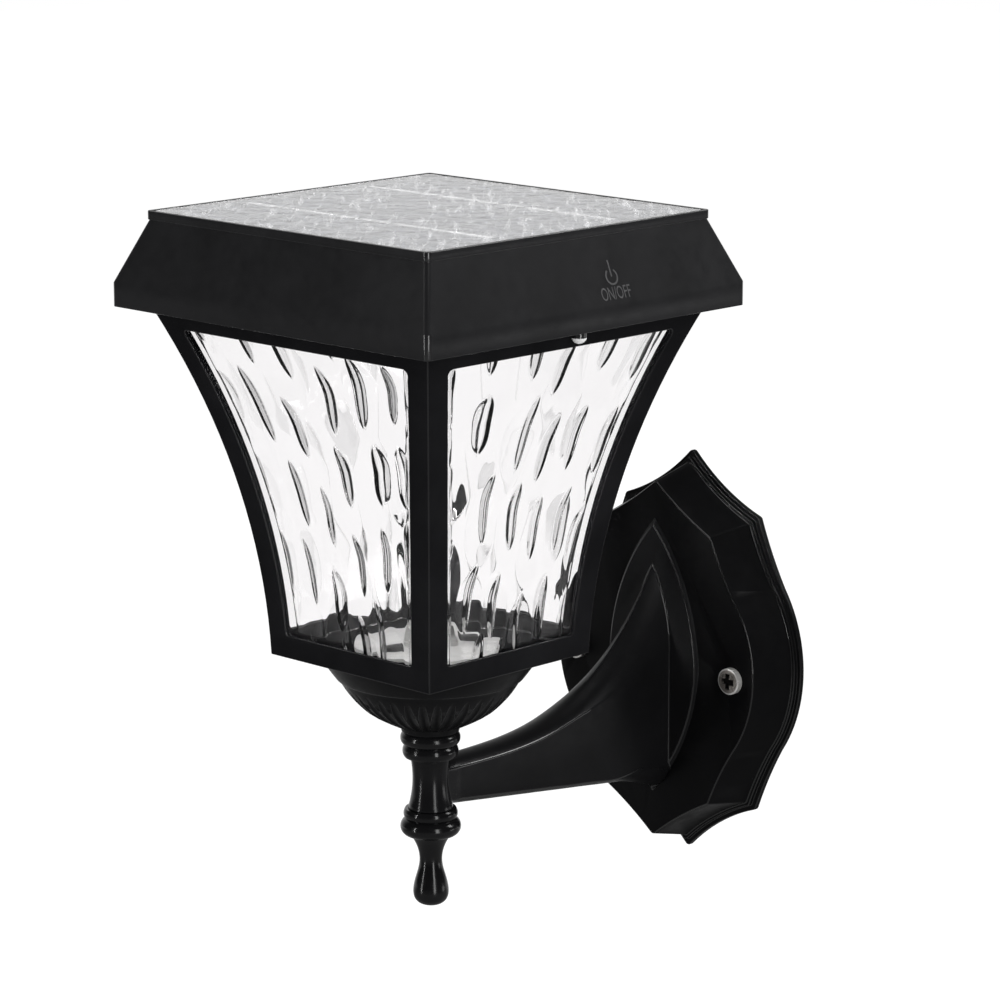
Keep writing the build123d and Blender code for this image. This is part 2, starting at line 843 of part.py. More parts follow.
def make_rod_washer():
    return post(washer_r, reflector_top_z, reflector_top_z + washer_thickness) - post(
        rod_r + fit, reflector_top_z, reflector_top_z + washer_thickness
    )


def make_rod_nut():
    low = reflector_top_z + washer_thickness
    hexagon = RegularPolygon(nut_flats / 2, 6, major_radius=False)
    return Pos(0, 0, low) * extrude(hexagon, nut_height) - post(rod_r + fit, low, low + nut_height)


def across_y(y):
    """Upright plane facing away from the wall, at a distance in front of it."""
    return Plane(origin=(0, y, 0), x_dir=(1, 0, 0), z_dir=(0, -1, 0))


def arm_section(y):
    """Outline of the arm at a place along Y: upright sides under a pointed arch, over a soft belly."""
    along = (y + reach) / (reach - plate_depth)
    wide = arm_hub_half_width + (arm_root_half_width - arm_hub_half_width) * along
    top = hub_top_z - arm_drop + arm_rise * along**arm_sweep_power
    flare = max(0.0, y + plate_depth + arm_bottom_flare_length) / arm_bottom_flare_length
    low = finial_top_z + arm_bottom_rise - arm_bottom_slope * (y + reach) - arm_bottom_flare * flare**2
    spread = max(0.0, y + plate_depth + arm_bevel_spread) / arm_bevel_spread
    bevel = arm_bevel + (arm_root_bevel - arm_bevel) * spread**2
    belly = arm_belly + (arm_root_belly - arm_belly) * flare
    arch_bow = arm_fullness * wide * bevel / hypot(wide, bevel)
    belly_bow = arm_fullness * wide * belly / hypot(wide, belly)
    return across_y(y) * loop(
        (0, top, arch_bow),
        (wide, top - bevel, 0),
        (wide, low + belly, belly_bow),
        (0, low, belly_bow),
        (-wide, low + belly, 0),
        (-wide, top - bevel, arch_bow),
    )


def pad_outline(inset, y):
    """Pointed oval of the pad around the arm's root."""
    return across_y(y) * loop(
        (0, pad_top - 2 * inset, pad_bulge),
        (pad_half_width - inset, 0, pad_bulge),
        (0, 2 * inset - pad_bottom, pad_bulge),
        (inset - pad_half_width, 0, pad_bulge),
    )


def arm_screw_place(z):
    """Place of an arm screw's seat, pointing from the plate's cavity towards the arm."""
    return Pos(0, plate_wall - plate_depth, z) * Rot(-90, 0, 0)


def make_arm():
    step = (reach - plate_depth) / (arm_section_count - 1)
    beam = loft([arm_section(-reach + index * step) for index in range(arm_section_count)])
    hub = turned(
        (0, hub_top_z, 0),
        (hub_top_r, hub_top_z, -hub_waist),
        (hub_foot_r, finial_top_z, 0),
        (0, finial_top_z, 0),
    )
    pad = loft(
        [pad_outline(0, -plate_depth), pad_outline(pad_edge, -plate_depth - pad_thickness)],
        ruled=True,
    )
    slab = Pos(0, -reach / 2, 0) * Box(cap_width, reach, hub_top_z - finial_top_z + 2 * plate_height)
    arm = (beam & slab) + Pos(0, -reach, 0) * hub + pad

    core_middle_z = (arm_core_top + arm_core_bottom) / 2
    core = loft(
        [
            across_y(-plate_depth)
            * Pos(0, core_middle_z)
            * Rectangle(2 * (arm_root_half_width - arm_core_wall), arm_core_top - arm_core_bottom),
            across_y(-plate_depth - arm_core_length)
            * Pos(0, arm_core_tip_z)
            * Rectangle(arm_core_tip_width, arm_core_tip_height),
        ]
    )
    arm -= core
    arm -= Pos(0, -reach, 0) * post(rod_hole_r, finial_top_z, hub_top_z)
    bite = arm_screw_length - plate_wall + fit
    for z in (arm_screw_top_z, arm_screw_low_z):
        hole = Cylinder(large_screw_r + thread_fit, bite)
        arm -= Pos(0, -plate_depth - bite / 2, z) * Rot(90, 0, 0) * hole
    return arm


def make_arm_screws():
    one = screw(large_screw_r, large_screw_head_r, large_screw_head_height, arm_screw_length)
    return together([arm_screw_place(z) * one for z in (arm_screw_top_z, arm_screw_low_z)])


def plate_outline(inset, y, corner=0.0):
    """The plate's shaped outline, drawn in by inset, on an upright plane."""
    apex = plate_height / 2 - apex_draw * inset
    shoulder = (shoulder_x - shoulder_draw_x * inset, shoulder_z - shoulder_draw_z * inset)
    hip = (bulge_x - bulge_draw_x * inset, bulge_z - bulge_draw_z * inset)
    side = plate_width / 2 - inset - hip[0]
    crown = crown_sag + crown_draw * inset
    face = loop(
        (0, apex, crown),
        (shoulder[0], shoulder[1], waist_sag),
        (hip[0], hip[1], side),
        (hip[0], -hip[1], waist_sag),
        (shoulder[0], -shoulder[1], crown),
        (0, -apex, crown),
        (-shoulder[0], -shoulder[1], waist_sag),
        (-hip[0], -hip[1], side),
        (-hip[0], hip[1], waist_sag),
        (-shoulder[0], shoulder[1], crown),
    )
    if corner > 0:
        sharp = face.vertices().filter_by(lambda v: abs(abs(v.X) - hip[0]) > corner / 10)
        face = fillet(sharp, corner)
    return across_y(y) * face


def wall_screw_places():
    return [(x, wall_screw_z) for x in (-wall_screw_half_pitch, wall_screw_half_pitch)]


def make_wall_plate():
    step_y = -rim_thickness
    wall_y = step_y - rim_step_thickness
    rim = extrude(plate_outline(0, 0, plate_corner), rim_thickness)
    rim += extrude(plate_outline(rim_step_inset, step_y, plate_corner), rim_step_thickness)
    body = loft(
        [
            plate_outline(wall_inset, wall_y, plate_corner),
            plate_outline(face_inset, -plate_depth, plate_corner),
        ],
        ruled=True,
    )
    hollow = loft(
        [
            plate_outline(wall_inset + plate_wall, 0),
            plate_outline(face_inset + plate_wall, plate_wall - plate_depth),
        ],
        ruled=True,
    )
    plate = rim + body - hollow
    lying = Rot(90, 0, 0)
    for x, z in wall_screw_places():
        plate += Pos(x, -plate_depth / 2, z) * lying * Cylinder(plate_boss_r, plate_depth)
    for x, z in wall_screw_places():
        plate -= Pos(x, -plate_depth / 2, z) * lying * Cylinder(wall_screw_r + screw_fit, plate_depth)
    for z in (arm_screw_top_z, arm_screw_low_z):
        hole = Cylinder(large_screw_r + screw_fit, plate_wall)
        plate -= Pos(0, plate_wall / 2 - plate_depth, z) * lying * hole
    return plate


def make_wall_screws():
    length = plate_depth + wall_screw_in_wall
    head = (wall_screw_head_r, wall_screw_head_height)
    one = screw(wall_screw_r, *head, length, wall_screw_neck_r, plate_depth)
    return together([Pos(x, -plate_depth, z) * Rot(90, 0, 0) * one for x, z in wall_screw_places()])


def make_panel_leads():
    high = deck_top_z + panel_gasket_thickness - lead_gap
    low = board_top_z + lead_gap
    side_y = board_y - lead_rise - lead_bend
    leads = []
    for x in (-lead_half_pitch, lead_half_pitch):
        upper = (x, board_y, (2 * high + low) / 3)
        lower = (x, side_y, (high + 2 * low) / 3)
        leads.append(lead([(x, board_y, high), upper, lower, (x, side_y, low)]))
    return together(leads)


def make_battery_leads():
    start_z = base_top_z + holder_height + contact_rise + lead_gap
    over_z = start_z + lead_rise + lead_r
    end_x = board_length / 2 - board_screw_inset + lead_half_pitch / 2
    leads = []
    for side in (-1, 1):
        x = side * (holder_inner / 2 - contact_thickness / 2)
        end = (side * end_x, board_y + part_pitch / 2 - lead_half_pitch / 2)
        points = [(x, battery_y, start_z), (x, battery_y, over_z), (*end, over_z)]
        leads.append(lead(points + [(*end, board_top_z + lead_gap)]))
    return together(leads)


def make_led_leads():
    over_z = board_top_z + lead_rise
    end_y = board_y + board_width / 2 - lead_rise - lead_half_pitch
    leads = []
    for x in (led_lead_x - lead_half_pitch / 2, led_lead_x + lead_half_pitch / 2):
        leads.append(
            lead(
                [
                    (x, led_lead_y, base_bottom_z + lead_gap),
                    (x, led_lead_y, over_z),
                    (x, end_y, over_z),
                    (x, end_y, board_top_z + lead_gap),
                ]
            )
        )
    return together(leads)


def make_switch_leads():
    start_x = button_x - switch_shift - switch_length / 2 - lead_gap
    start_z = (switch_bottom_z + switch_top_z) / 2
    over_z = board_top_z + lead_rise
    end_x = board_length / 2 - lead_rise - 2 * lead_half_pitch
    leads = []
    for y in (-lead_half_pitch, lead_half_pitch):
        leads.append(
            lead(
                [
                    (start_x, y, start_z),
                    (start_x - 3 * lead_rise, y, start_z),
                    (end_x, board_y + y, over_z),
                    (end_x, board_y + y, board_top_z + lead_gap),
                ]
            )
        )
    return together(leads)


panel_board, solar_cells, cell_ribbons, panel_cover, panel_gasket = make_panel()

# Pieces about the lantern's axis
on_axis = {
    "cap_shell": make_cap_shell(),
    "panel_board": panel_board,
    "solar_cells": solar_cells,
    "cell_ribbons": cell_ribbons,
    "panel_cover": panel_cover,
    "panel_gasket": panel_gasket,
    "cap_base": make_cap_base(),
    "cap_screws": make_cap_screws(),
    "battery": make_battery(),
    "battery_holder": make_battery_holder(),
    "battery_contacts": make_battery_contacts(),
    "control_board": make_control_board(),
    "board_parts": make_board_parts(),
    "board_screws": make_board_screws(),
    "led_board": make_led_board(),
    "leds": make_leds(),
    "led_screws": make_led_screws(),
    "led_diffuser": make_led_diffuser(),
    "push_button": make_push_button(),
    "switch_plunger": make_switch_plunger(),
    "switch_body": make_switch_body(),
    "return_spring": make_return_spring(),
    "panel_leads": make_panel_leads(),
    "battery_leads": make_battery_leads(),
    "led_leads": make_led_leads(),
    "switch_leads": make_switch_leads(),
    "lantern_frame": make_lantern_frame(),
    "frame_gasket": make_frame_gasket(),
    "frame_screws": make_frame_screws(),
    "window_front": make_window(0),
    "window_right": make_window(90),
    "window_back": make_window(180),
    "window_left": make_window(270),
    "reflector": make_reflector(),
    "reflector_screws": make_reflector_screws(),
    "bowl": make_bowl(),
    "collar": make_collar(),
    "finial": make_finial(),
    "tie_rod": make_tie_rod(),
    "rod_washer": make_rod_washer(),
    "rod_nut": make_rod_nut(),
}

# Pieces about the wall plate
on_wall = {
    "arm": make_arm(),
    "arm_screws": make_arm_screws(),
    "wall_plate": make_wall_plate(),
    "wall_screws": make_wall_screws(),
}

for name, piece in on_axis.items():
    export_step(Pos(0, -reach, 0) * piece, f"parts/{name}.step")
for name, piece in on_wall.items():
    export_step(piece, f"parts/{name}.step")
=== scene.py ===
"""Looks of the solar wall lantern: finishes, rippled panes, textured solar cover and switch marks."""

from math import cos, hypot, pi, radians, sin, sqrt, tan

import bmesh
import bpy
import numpy as np
from mathutils import Matrix, Vector, noise


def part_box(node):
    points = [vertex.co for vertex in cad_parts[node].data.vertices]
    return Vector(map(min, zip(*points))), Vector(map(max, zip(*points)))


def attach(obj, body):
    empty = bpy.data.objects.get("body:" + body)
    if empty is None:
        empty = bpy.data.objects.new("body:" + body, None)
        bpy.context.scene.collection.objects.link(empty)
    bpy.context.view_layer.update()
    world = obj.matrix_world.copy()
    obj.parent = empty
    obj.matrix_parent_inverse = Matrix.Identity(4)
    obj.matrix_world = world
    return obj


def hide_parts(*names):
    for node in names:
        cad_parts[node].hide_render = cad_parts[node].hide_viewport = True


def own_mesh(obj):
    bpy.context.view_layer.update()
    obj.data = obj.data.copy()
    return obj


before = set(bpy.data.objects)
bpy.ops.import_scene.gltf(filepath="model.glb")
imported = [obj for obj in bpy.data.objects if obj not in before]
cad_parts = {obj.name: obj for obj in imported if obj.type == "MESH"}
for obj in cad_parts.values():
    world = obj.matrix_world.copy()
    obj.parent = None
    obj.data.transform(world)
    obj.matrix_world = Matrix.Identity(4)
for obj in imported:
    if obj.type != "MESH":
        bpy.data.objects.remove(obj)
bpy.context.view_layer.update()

MM = 0.001

# Camera
CAMERA_PLACE = Vector((0.93158, -1.05917, 0.36294))
CAMERA_AIM = Vector((-0.0564, -0.0438, 0.0540))
CAMERA_LENS = 142.67
SENSOR_WIDTH = 36.0

# Studio
BACKDROP_WAY = (-0.68, 0.70, -0.2)
BACKDROP_FADE = (0.35, 0.75)  # from the dim room to the white backdrop
FLOOR_FADE = (0.5, 1.5)  # from the dark floor under the object to the white one behind it, in metres
ROOM_LEVEL = 0.05
ROOM_LIGHT = 0.5
FLOOR_LEVEL = -0.45
FLOOR_HALF = 6.0
FLOOR_TONE = 0.35
FLOOR_GLOW = 0.85
LAMP_AIM = Vector((0.0, -0.1, 0.03))
LAMP_DISTANCE = 1.6
LAMPS = {  # azimuth, elevation, width, height, radiance
    "left_strip": (-18, 6.6, 0.06, 1.25, 38.0),
    "right_box": (69, 6.6, 0.3, 1.25, 11.0),
    "edge": (135, 30, 0.4, 0.6, 12.0),
    "top": (0, 90, 0.8, 0.8, 2.5),
    "low_right": (132, -9, 0.5, 0.25, 3.5),
}

# Black plastic, and the clear plastic of the panes
BLACK = (0.0055, 0.0055, 0.006)
PANE_CLEAR = (0.955, 0.948, 0.951)
# painted shade: the panes' colour where their dimples and steep rims are darkened
PANE_PAINTED_SHADE = (0.04, 0.04, 0.042)
PANE_IOR = 1.49
PANE_MIRRORING = 0.2  # share of the panes' reflections that is kept

# Lantern shape, as far as the frame's boxes don't give it
FLARE_RADIUS = 327.3 * MM
BODY_BOTTOM_WIDTH = 76.8 * MM
POST_WIDTH = 8.6 * MM
PANE_LAP = 3.0 * MM
PANE_THICKNESS = 2.0 * MM
PANE_INSET = 1.7 * MM  # outer face of a pane in from the frame's outer face

# Relief of the panes: soft pillows, and steep long dimples among them
RELIEF_STEP_ACROSS = 0.45 * MM
RELIEF_STEP_UP = 0.8 * MM
COLUMN_PITCH = 13.0 * MM
ROW_PITCH = 29.5 * MM
SITE_JITTER = 0.28
JITTER_UP = 0.4  # jitter up and down, against that across
PILLOW_HALF_WIDTH = 8.1 * MM
PILLOW_HALF_HEIGHT = 14.0 * MM
PILLOW_DEPTH = 0.42 * MM
PILLOW_CREASE = 6.0  # how sharply one pillow meets the next
DIMPLE_HALF_LENGTH = (10.0 * MM, 13.5 * MM)
DIMPLE_HALF_WIDTH = (1.4 * MM, 2.6 * MM)
DIMPLE_DEPTH = (0.6 * MM, 1.05 * MM)
DIMPLE_TILT = radians(6)
DIMPLE_BLUNTNESS = 4
DIMPLE_HOOK = (1.0 * MM, 4.5 * MM)  # how far a dimple's top end bends aside
DIMPLE_PAINTED_SHADE = (0.25, 0.8)  # how dark the painted shade inside a dimple is
LIT_FLANK_PAINTED_SHADE = 0.55  # painted shade on a dimple's lit flank, against that on its shaded flank
WIDE_SHARE = 0.18  # share of the dimples that are wide
WIDE_HALF_WIDTH = 3.6 * MM
# painted shade inside a wide dimple
WIDE_PAINTED_SHADE = 0.05
CUT_LIMIT = 1.7 * MM
PANES = {  # side that a pane's dimples bend to, and how strong their painted shade is
    "front": (-1, 1.0),
    "right": (1, 0.55),
    "back": (-1, 0.4),
    "left": (1, 0.4),
}
PANE_SEED = 11
MARGIN = 3.2 * MM  # flat border inside the window opening
MARGIN_SOFTNESS = 0.5 * MM
GROOVE_DEPTH = 0.25 * MM
GROOVE_HALF_WIDTH = 0.35 * MM
RIM_SLOPE = (0.1, 0.7)  # slopes at which the painted shade on a rim starts and is full
RELIEF_SHARP_ANGLE = radians(50)

# Solar cover relief
COVER_GAP = 0.02 * MM  # over the ribbons
COVER_STEP = 0.7 * MM
COVER_WAVE = 0.05 * MM
COVER_WAVE_LENGTH = 5.0 * MM
FINE_WAVE = 0.5  # height of the finer wave, against the main one
FINE_WAVE_SHARE = 2.3  # how many finer waves go into a main one
COVER_CORNER = 3.0 * MM
STREAK_TURN = radians(134)  # way of the streaks in the cover
STREAK_STRETCH = 9.0

# Rounded edges
SHARP_ANGLE = radians(25)
FLAT_ANGLE = radians(0.3)
WELD = 0.002 * MM
EDGE_ROUGHNESS_SHARE = 0.55
CORNER_TURN = 0.1  # least part of a corner's normal along X and along Y
CORNER_RISE = 0.2  # most that it points up or down
EDGE_ROUND = {
    "cap_shell": 0.18 * MM,
    "lantern_frame": 0.35 * MM,
    "arm": 0.4 * MM,
    "wall_plate": 0.35 * MM,
    "bowl": 0.15 * MM,
}

# Sloping face of the cap
CAP_TOP_HALF = 66.2 * MM
SLOPE_TOP_Z = 173.0 * MM
SKIRT_TOP_Z = 151.8 * MM

# Glossy hub of the arm: where its gloss fades, out from the lantern's axis
HUB_REACH = (7.0 * MM, 10.0 * MM)

# Push button: a pale tip, a painted reflection, below a dark sleeve, painted shade
TIP_HEIGHT = 1.9 * MM
TIP_BLEND = 0.2 * MM
SLEEVE_PAINTED_SHADE = (0.012, 0.012, 0.013)

# Wall screws: where the painted shade in the cross recess fades, against the head's radius and below its
# top, and where the painted highlight on the rim begins, against the head's radius
RECESS_REACH = (0.62, 0.66)
RECESS_DEPTH = (0.5 * MM, 0.9 * MM)
RECESS_PAINTED_SHADE = (0.008, 0.008, 0.008)
HEAD_RIM_REACH = (0.86, 0.92)
HEAD_RIM_PAINTED_HIGHLIGHT = (0.7, 0.69, 0.67)

# Switch marks
MARK_Y = -123.5 * MM
SYMBOL_Z = 161.3 * MM
SYMBOL_HEIGHT = 8.4 * MM
RING_RADIUS = 0.34 * SYMBOL_HEIGHT
RING_DROP = 0.16 * SYMBOL_HEIGHT
RING_ENDS = (radians(125), radians(415))
RING_STEPS = 40
WORD_Z = 155.0 * MM
WORD_WIDTH = 13.8 * MM
WORD_HEIGHT = 4.3 * MM
MARK_THICKNESS = 0.06 * MM
STROKE = 0.62 * MM

lantern_low, lantern_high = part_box("lantern_frame")
lantern_y = (lantern_low.y + lantern_high.y) / 2
body_height = lantern_high.z - lantern_low.z
body_top_width = lantern_high.x - lantern_low.x

flare_run = (body_top_width - BODY_BOTTOM_WIDTH) / 2
flare_chord = hypot(flare_run, body_height)
flare_back = sqrt(FLARE_RADIUS**2 - (flare_chord / 2) ** 2)
flare_x = (body_top_width + BODY_BOTTOM_WIDTH) / 4 + flare_back * body_height / flare_chord
flare_z = (lantern_low.z + lantern_high.z) / 2 - flare_back * flare_run / flare_chord


def half_width(z, inset=0.0):
    """Half the lantern's width at a level, measured to a face set in by inset."""
    return flare_x - np.sqrt((FLARE_RADIUS + inset) ** 2 - (z - flare_z) ** 2)


# Node helpers


def new_material(name):
    """An empty Principled material, with its tree and its shader."""
    material = bpy.data.materials.new(name)
    material.use_nodes = True
    return material, material.node_tree, material.node_tree.nodes["Principled BSDF"]


def add(tree, kind, settings=None, **inputs):
    """One shader node, with settings and input values; an underscore in an input's name is a space."""
    made = tree.nodes.new("ShaderNode" + kind)
    for key, value in (settings or {}).items():
        setattr(made, key, value)
    for key, value in inputs.items():
        made.inputs[key.replace("_", " ")].default_value = value
    return made


def place(tree, stretch=(1.0, 1.0, 1.0)):
    """The piece's own coordinates, in metres, with each axis multiplied."""
    where = add(tree, "TexCoord").outputs["Object"]
    mapping = add(tree, "Mapping", Scale=stretch)
    tree.links.new(where, mapping.inputs["Vector"])
    return mapping.outputs["Vector"]


def cloud(tree, scale, detail=3.0, stretch=(1.0, 1.0, 1.0), roughness=0.55):
    """A noise value; scale is in features per metre."""
    made = add(tree, "TexNoise", Scale=scale, Detail=detail, Roughness=roughness)
    tree.links.new(place(tree, stretch), made.inputs["Vector"])
    return made.outputs["Fac"]


def spread(tree, value, low, high, start=0.3, end=0.7):
    """A value remapped from start..end to low..high."""
    made = add(tree, "MapRange", From_Min=start, From_Max=end, To_Min=low, To_Max=high)
    tree.links.new(value, made.inputs["Value"])
    return made.outputs["Result"]


def tint(tree, value, dark, light, start=0.3, end=0.7):
    """A colour that runs from dark to light with a value."""
    made = add(tree, "ValToRGB")
    made.color_ramp.elements[0].position = start
    made.color_ramp.elements[0].color = (*dark, 1.0)
    made.color_ramp.elements[1].position = end
    made.color_ramp.elements[1].color = (*light, 1.0)
    tree.links.new(value, made.inputs["Fac"])
    return made.outputs["Color"]


def relief(tree, height, strength, distance):
    """A normal bent by a height value; distance is the height in metres."""
    made = add(tree, "Bump", Strength=strength, Distance=distance)
    tree.links.new(height, made.inputs["Height"])
    return made.outputs["Normal"]


def joined(tree, operation, first, second):
    """Two values joined by a sum, a product or the like."""
    made = add(tree, "Math", {"operation": operation})
    tree.links.new(first, made.inputs[0])
    tree.links.new(second, made.inputs[1])
    return made.outputs["Value"]


def own_axes(tree):
    """The piece's own X, Y and Z, in metres."""
    apart = add(tree, "SeparateXYZ")
    tree.links.new(add(tree, "TexCoord").outputs["Object"], apart.inputs["Vector"])
    return apart.outputs


def fed(shader, name):
    """The socket that feeds one of the shader's inputs."""
    return shader.inputs[name].links[0].from_socket


def recolour(tree, shader, share, tone):
    """Turns the shader's colour to a tone where share is 1."""
    mixed = add(tree, "Mix", {"data_type": "RGBA"})
    mixed.inputs["B"].default_value = (*tone, 1.0)
    tree.links.new(share, mixed.inputs["Factor"])
    tree.links.new(fed(shader, "Base Color"), mixed.inputs["A"])
    tree.links.new(mixed.outputs["Result"], shader.inputs["Base Color"])


def shaded(tone, share):
    """A tone made darker or lighter."""
    return tuple(channel * share for channel in tone)


def moulded(name, tone, roughness, specular, grain=1800.0, grain_depth=0.02 * MM, mottle=45.0):
    """Moulded plastic, rubber or coating: fine grain, uneven sheen and a slightly uneven colour."""
    material, tree, shader = new_material(name)
    shader.inputs["Specular IOR Level"].default_value = specular
    colour = tint(tree, cloud(tree, mottle), shaded(tone, 0.8), shaded(tone, 1.2))
    sheen = spread(tree, cloud(tree, 6 * mottle), roughness - 0.05, roughness + 0.05)
    tree.links.new(colour, shader.inputs["Base Color"])
    tree.links.new(sheen, shader.inputs["Roughness"])
    tree.links.new(relief(tree, cloud(tree, grain), 0.25, grain_depth), shader.inputs["Normal"])
    return material


def metal(name, tone, roughness, stretch=(1.0, 1.0, 12.0), grain=900.0, grain_depth=0.02 * MM):
    """Plated or bare metal with fine drawn lines."""
    material, tree, shader = new_material(name)
    shader.inputs["Metallic"].default_value = 1.0
    lines = cloud(tree, grain, 4.0, stretch)
    tree.links.new(tint(tree, lines, shaded(tone, 0.85), shaded(tone, 1.08)), shader.inputs["Base Color"])
    sheen = spread(tree, lines, roughness - 0.04, roughness + 0.06)
    tree.links.new(sheen, shader.inputs["Roughness"])
    tree.links.new(relief(tree, lines, 0.12, grain_depth), shader.inputs["Normal"])
    return material


def make_wall_screw(tone, roughness, metallic):
    """Dull plated pan heads, with painted shade inside their cross recesses and a painted highlight on
    their rims.
    """
    material = moulded("bright_screw", tone, roughness, 0.5, grain_depth=0.004 * MM)
    tree = material.node_tree
    shader = tree.nodes["Principled BSDF"]
    shader.inputs["Metallic"].default_value = metallic
    low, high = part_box("wall_screws")
    head = (high.z - low.z) / 2
    axes = own_axes(tree)
    either = add(tree, "Math", {"operation": "ABSOLUTE"})
    tree.links.new(axes["X"], either.inputs[0])
    across = add(tree, "CombineXYZ")
    tree.links.new(either.outputs["Value"], across.inputs["X"])
    tree.links.new(axes["Z"], across.inputs["Z"])
    away = add(tree, "VectorMath", {"operation": "DISTANCE"})
    away.inputs[1].default_value = (high.x - head, 0.0, low.z + head)
    tree.links.new(across.outputs["Vector"], away.inputs[0])
    out = away.outputs["Value"]
    # painted shade inside the cross recess
    middle = spread(tree, out, 1.0, 0.0, RECESS_REACH[0] * head, RECESS_REACH[1] * head)
    deep = spread(tree, axes["Y"], 0.0, 1.0, low.y + RECESS_DEPTH[0], low.y + RECESS_DEPTH[1])
    recolour(tree, shader, joined(tree, "MULTIPLY", middle, deep), RECESS_PAINTED_SHADE)
    # painted highlight: a pale tone round the head's rim
    rim = spread(tree, out, 0.0, 1.0, HEAD_RIM_REACH[0] * head, HEAD_RIM_REACH[1] * head)
    recolour(tree, shader, rim, HEAD_RIM_PAINTED_HIGHLIGHT)
    return material


def make_button():
    """Chrome button in painted light: a pale domed tip, a painted reflection of the bright floor, below a
    dark sleeve, painted shade in the cap's hole.
    """
    # painted reflection: a pale tone stands for the chrome dome mirroring the bright floor below
    material = moulded("button_chrome", (0.8, 0.8, 0.8), 0.15, 0.5, grain_depth=0.004 * MM)
    tree = material.node_tree
    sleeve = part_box("push_button")[0].z + TIP_HEIGHT
    upper = spread(tree, own_axes(tree)["Z"], 0.0, 1.0, sleeve, sleeve + TIP_BLEND)
    # painted shade: the dark sleeve stands for the chrome darkened in the hole under the cap
    recolour(tree, tree.nodes["Principled BSDF"], upper, SLEEVE_PAINTED_SHADE)
    return material


def let_light_in(tree, shader):
    """Shows a clear shader to the eye and lets lamps shine through it."""
    clear = add(tree, "BsdfTransparent")
    path = add(tree, "LightPath")
    mixed = add(tree, "MixShader")
    tree.links.new(path.outputs["Is Shadow Ray"], mixed.inputs["Fac"])
    tree.links.new(shader.outputs["BSDF"], mixed.inputs[1])
    tree.links.new(clear.outputs["BSDF"], mixed.inputs[2])
    tree.links.new(mixed.outputs["Shader"], tree.nodes["Material Output"].inputs["Surface"])


def make_glass():
    """Clear panes with painted shade inside their dimples and on their steep rims."""
    material, tree, shader = new_material("ripple_glass")
    # painted shade, stored on the relief by its slope and inside the dimples
    rim = add(tree, "Attribute", {"attribute_name": "rim"}).outputs["Fac"]
    colour = tint(tree, rim, PANE_CLEAR, PANE_PAINTED_SHADE, 0.0, 1.0)
    tree.links.new(colour, shader.inputs["Base Color"])
    shader.inputs["Transmission Weight"].default_value = 1.0
    shader.inputs["IOR"].default_value = PANE_IOR
    shader.inputs["Specular Tint"].default_value = (PANE_MIRRORING, PANE_MIRRORING, PANE_MIRRORING, 1.0)
    shader.inputs["Roughness"].default_value = 0.0
    tree.links.new(relief(tree, cloud(tree, 160.0, 1.0), 0.06, 0.2 * MM), shader.inputs["Normal"])
    let_light_in(tree, shader)
    return material


def streaks(tree, scale):
    """Long streaks that run across the cover from corner to corner."""
    where = add(tree, "TexCoord").outputs["Object"]
    mapping = add(tree, "Mapping", {"vector_type": "TEXTURE"}, Scale=(STREAK_STRETCH, 1.0, 1.0))
    mapping.inputs["Rotation"].default_value = (0.0, 0.0, STREAK_TURN)
    tree.links.new(where, mapping.inputs["Vector"])
    made = add(tree, "TexNoise", Scale=scale, Detail=4.0, Roughness=0.6, Distortion=0.6)
    tree.links.new(mapping.outputs["Vector"], made.inputs["Vector"])
    return made.outputs["Fac"]


def make_panel_clear():
    """Clear cast cover with a fine wavy skin and paler streaks and specks."""
    material, tree, shader = new_material("panel_clear")
    shader.inputs["Base Color"].default_value = (0.8, 0.8, 0.81, 1.0)
    shader.inputs["IOR"].default_value = 1.24
    streaked = spread(tree, streaks(tree, 480.0), low=1.0, high=0.4, start=0.54, end=0.78)
    specked = spread(tree, cloud(tree, 800.0, 2.0), low=1.0, high=0.35, start=0.64, end=0.76)
    clear = joined(tree, "MINIMUM", streaked, specked)
    tree.links.new(clear, shader.inputs["Transmission Weight"])
    tree.links.new(spread(tree, cloud(tree, 500.0), 0.04, 0.10), shader.inputs["Roughness"])
    skin = relief(tree, cloud(tree, 420.0, 4.0), 0.3, 0.1 * MM)
    tree.links.new(skin, shader.inputs["Normal"])
    let_light_in(tree, shader)
    return material


def make_cell():
    """Dark silicon with pale collector lines."""
    material, tree, shader = new_material("cell")
    shader.inputs["Roughness"].default_value = 0.4
    shader.inputs["Specular IOR Level"].default_value = 0.2
    flakes = add(tree, "TexVoronoi", Scale=160.0)
    tree.links.new(place(tree), flakes.inputs["Vector"])
    lines = add(tree, "TexWave", {"bands_direction": "Y"}, Scale=130.0, Distortion=0.0)
    tree.links.new(place(tree), lines.inputs["Vector"])
    body = tint(tree, flakes.outputs["Distance"], (0.006, 0.008, 0.018), (0.014, 0.018, 0.04))
    tree.links.new(body, shader.inputs["Base Color"])
    drawn = spread(tree, lines.outputs["Fac"], low=0.0, high=0.7, start=0.965, end=0.99)
    recolour(tree, shader, drawn, (0.3, 0.31, 0.34))
    return material


def make_opal():
    """Milky diffuser plastic."""
    material, tree, shader = new_material("opal")
    shader.inputs["Subsurface Weight"].default_value = 0.4
    shader.inputs["Subsurface Radius"].default_value = (3 * MM, 3 * MM, 3 * MM)
    shader.inputs["Subsurface Scale"].default_value = 1.0
    colour = tint(tree, cloud(tree, 60.0), (0.80, 0.80, 0.78), (0.88, 0.88, 0.86))
    tree.links.new(colour, shader.inputs["Base Color"])
    tree.links.new(spread(tree, cloud(tree, 700.0), 0.32, 0.42), shader.inputs["Roughness"])
    return material


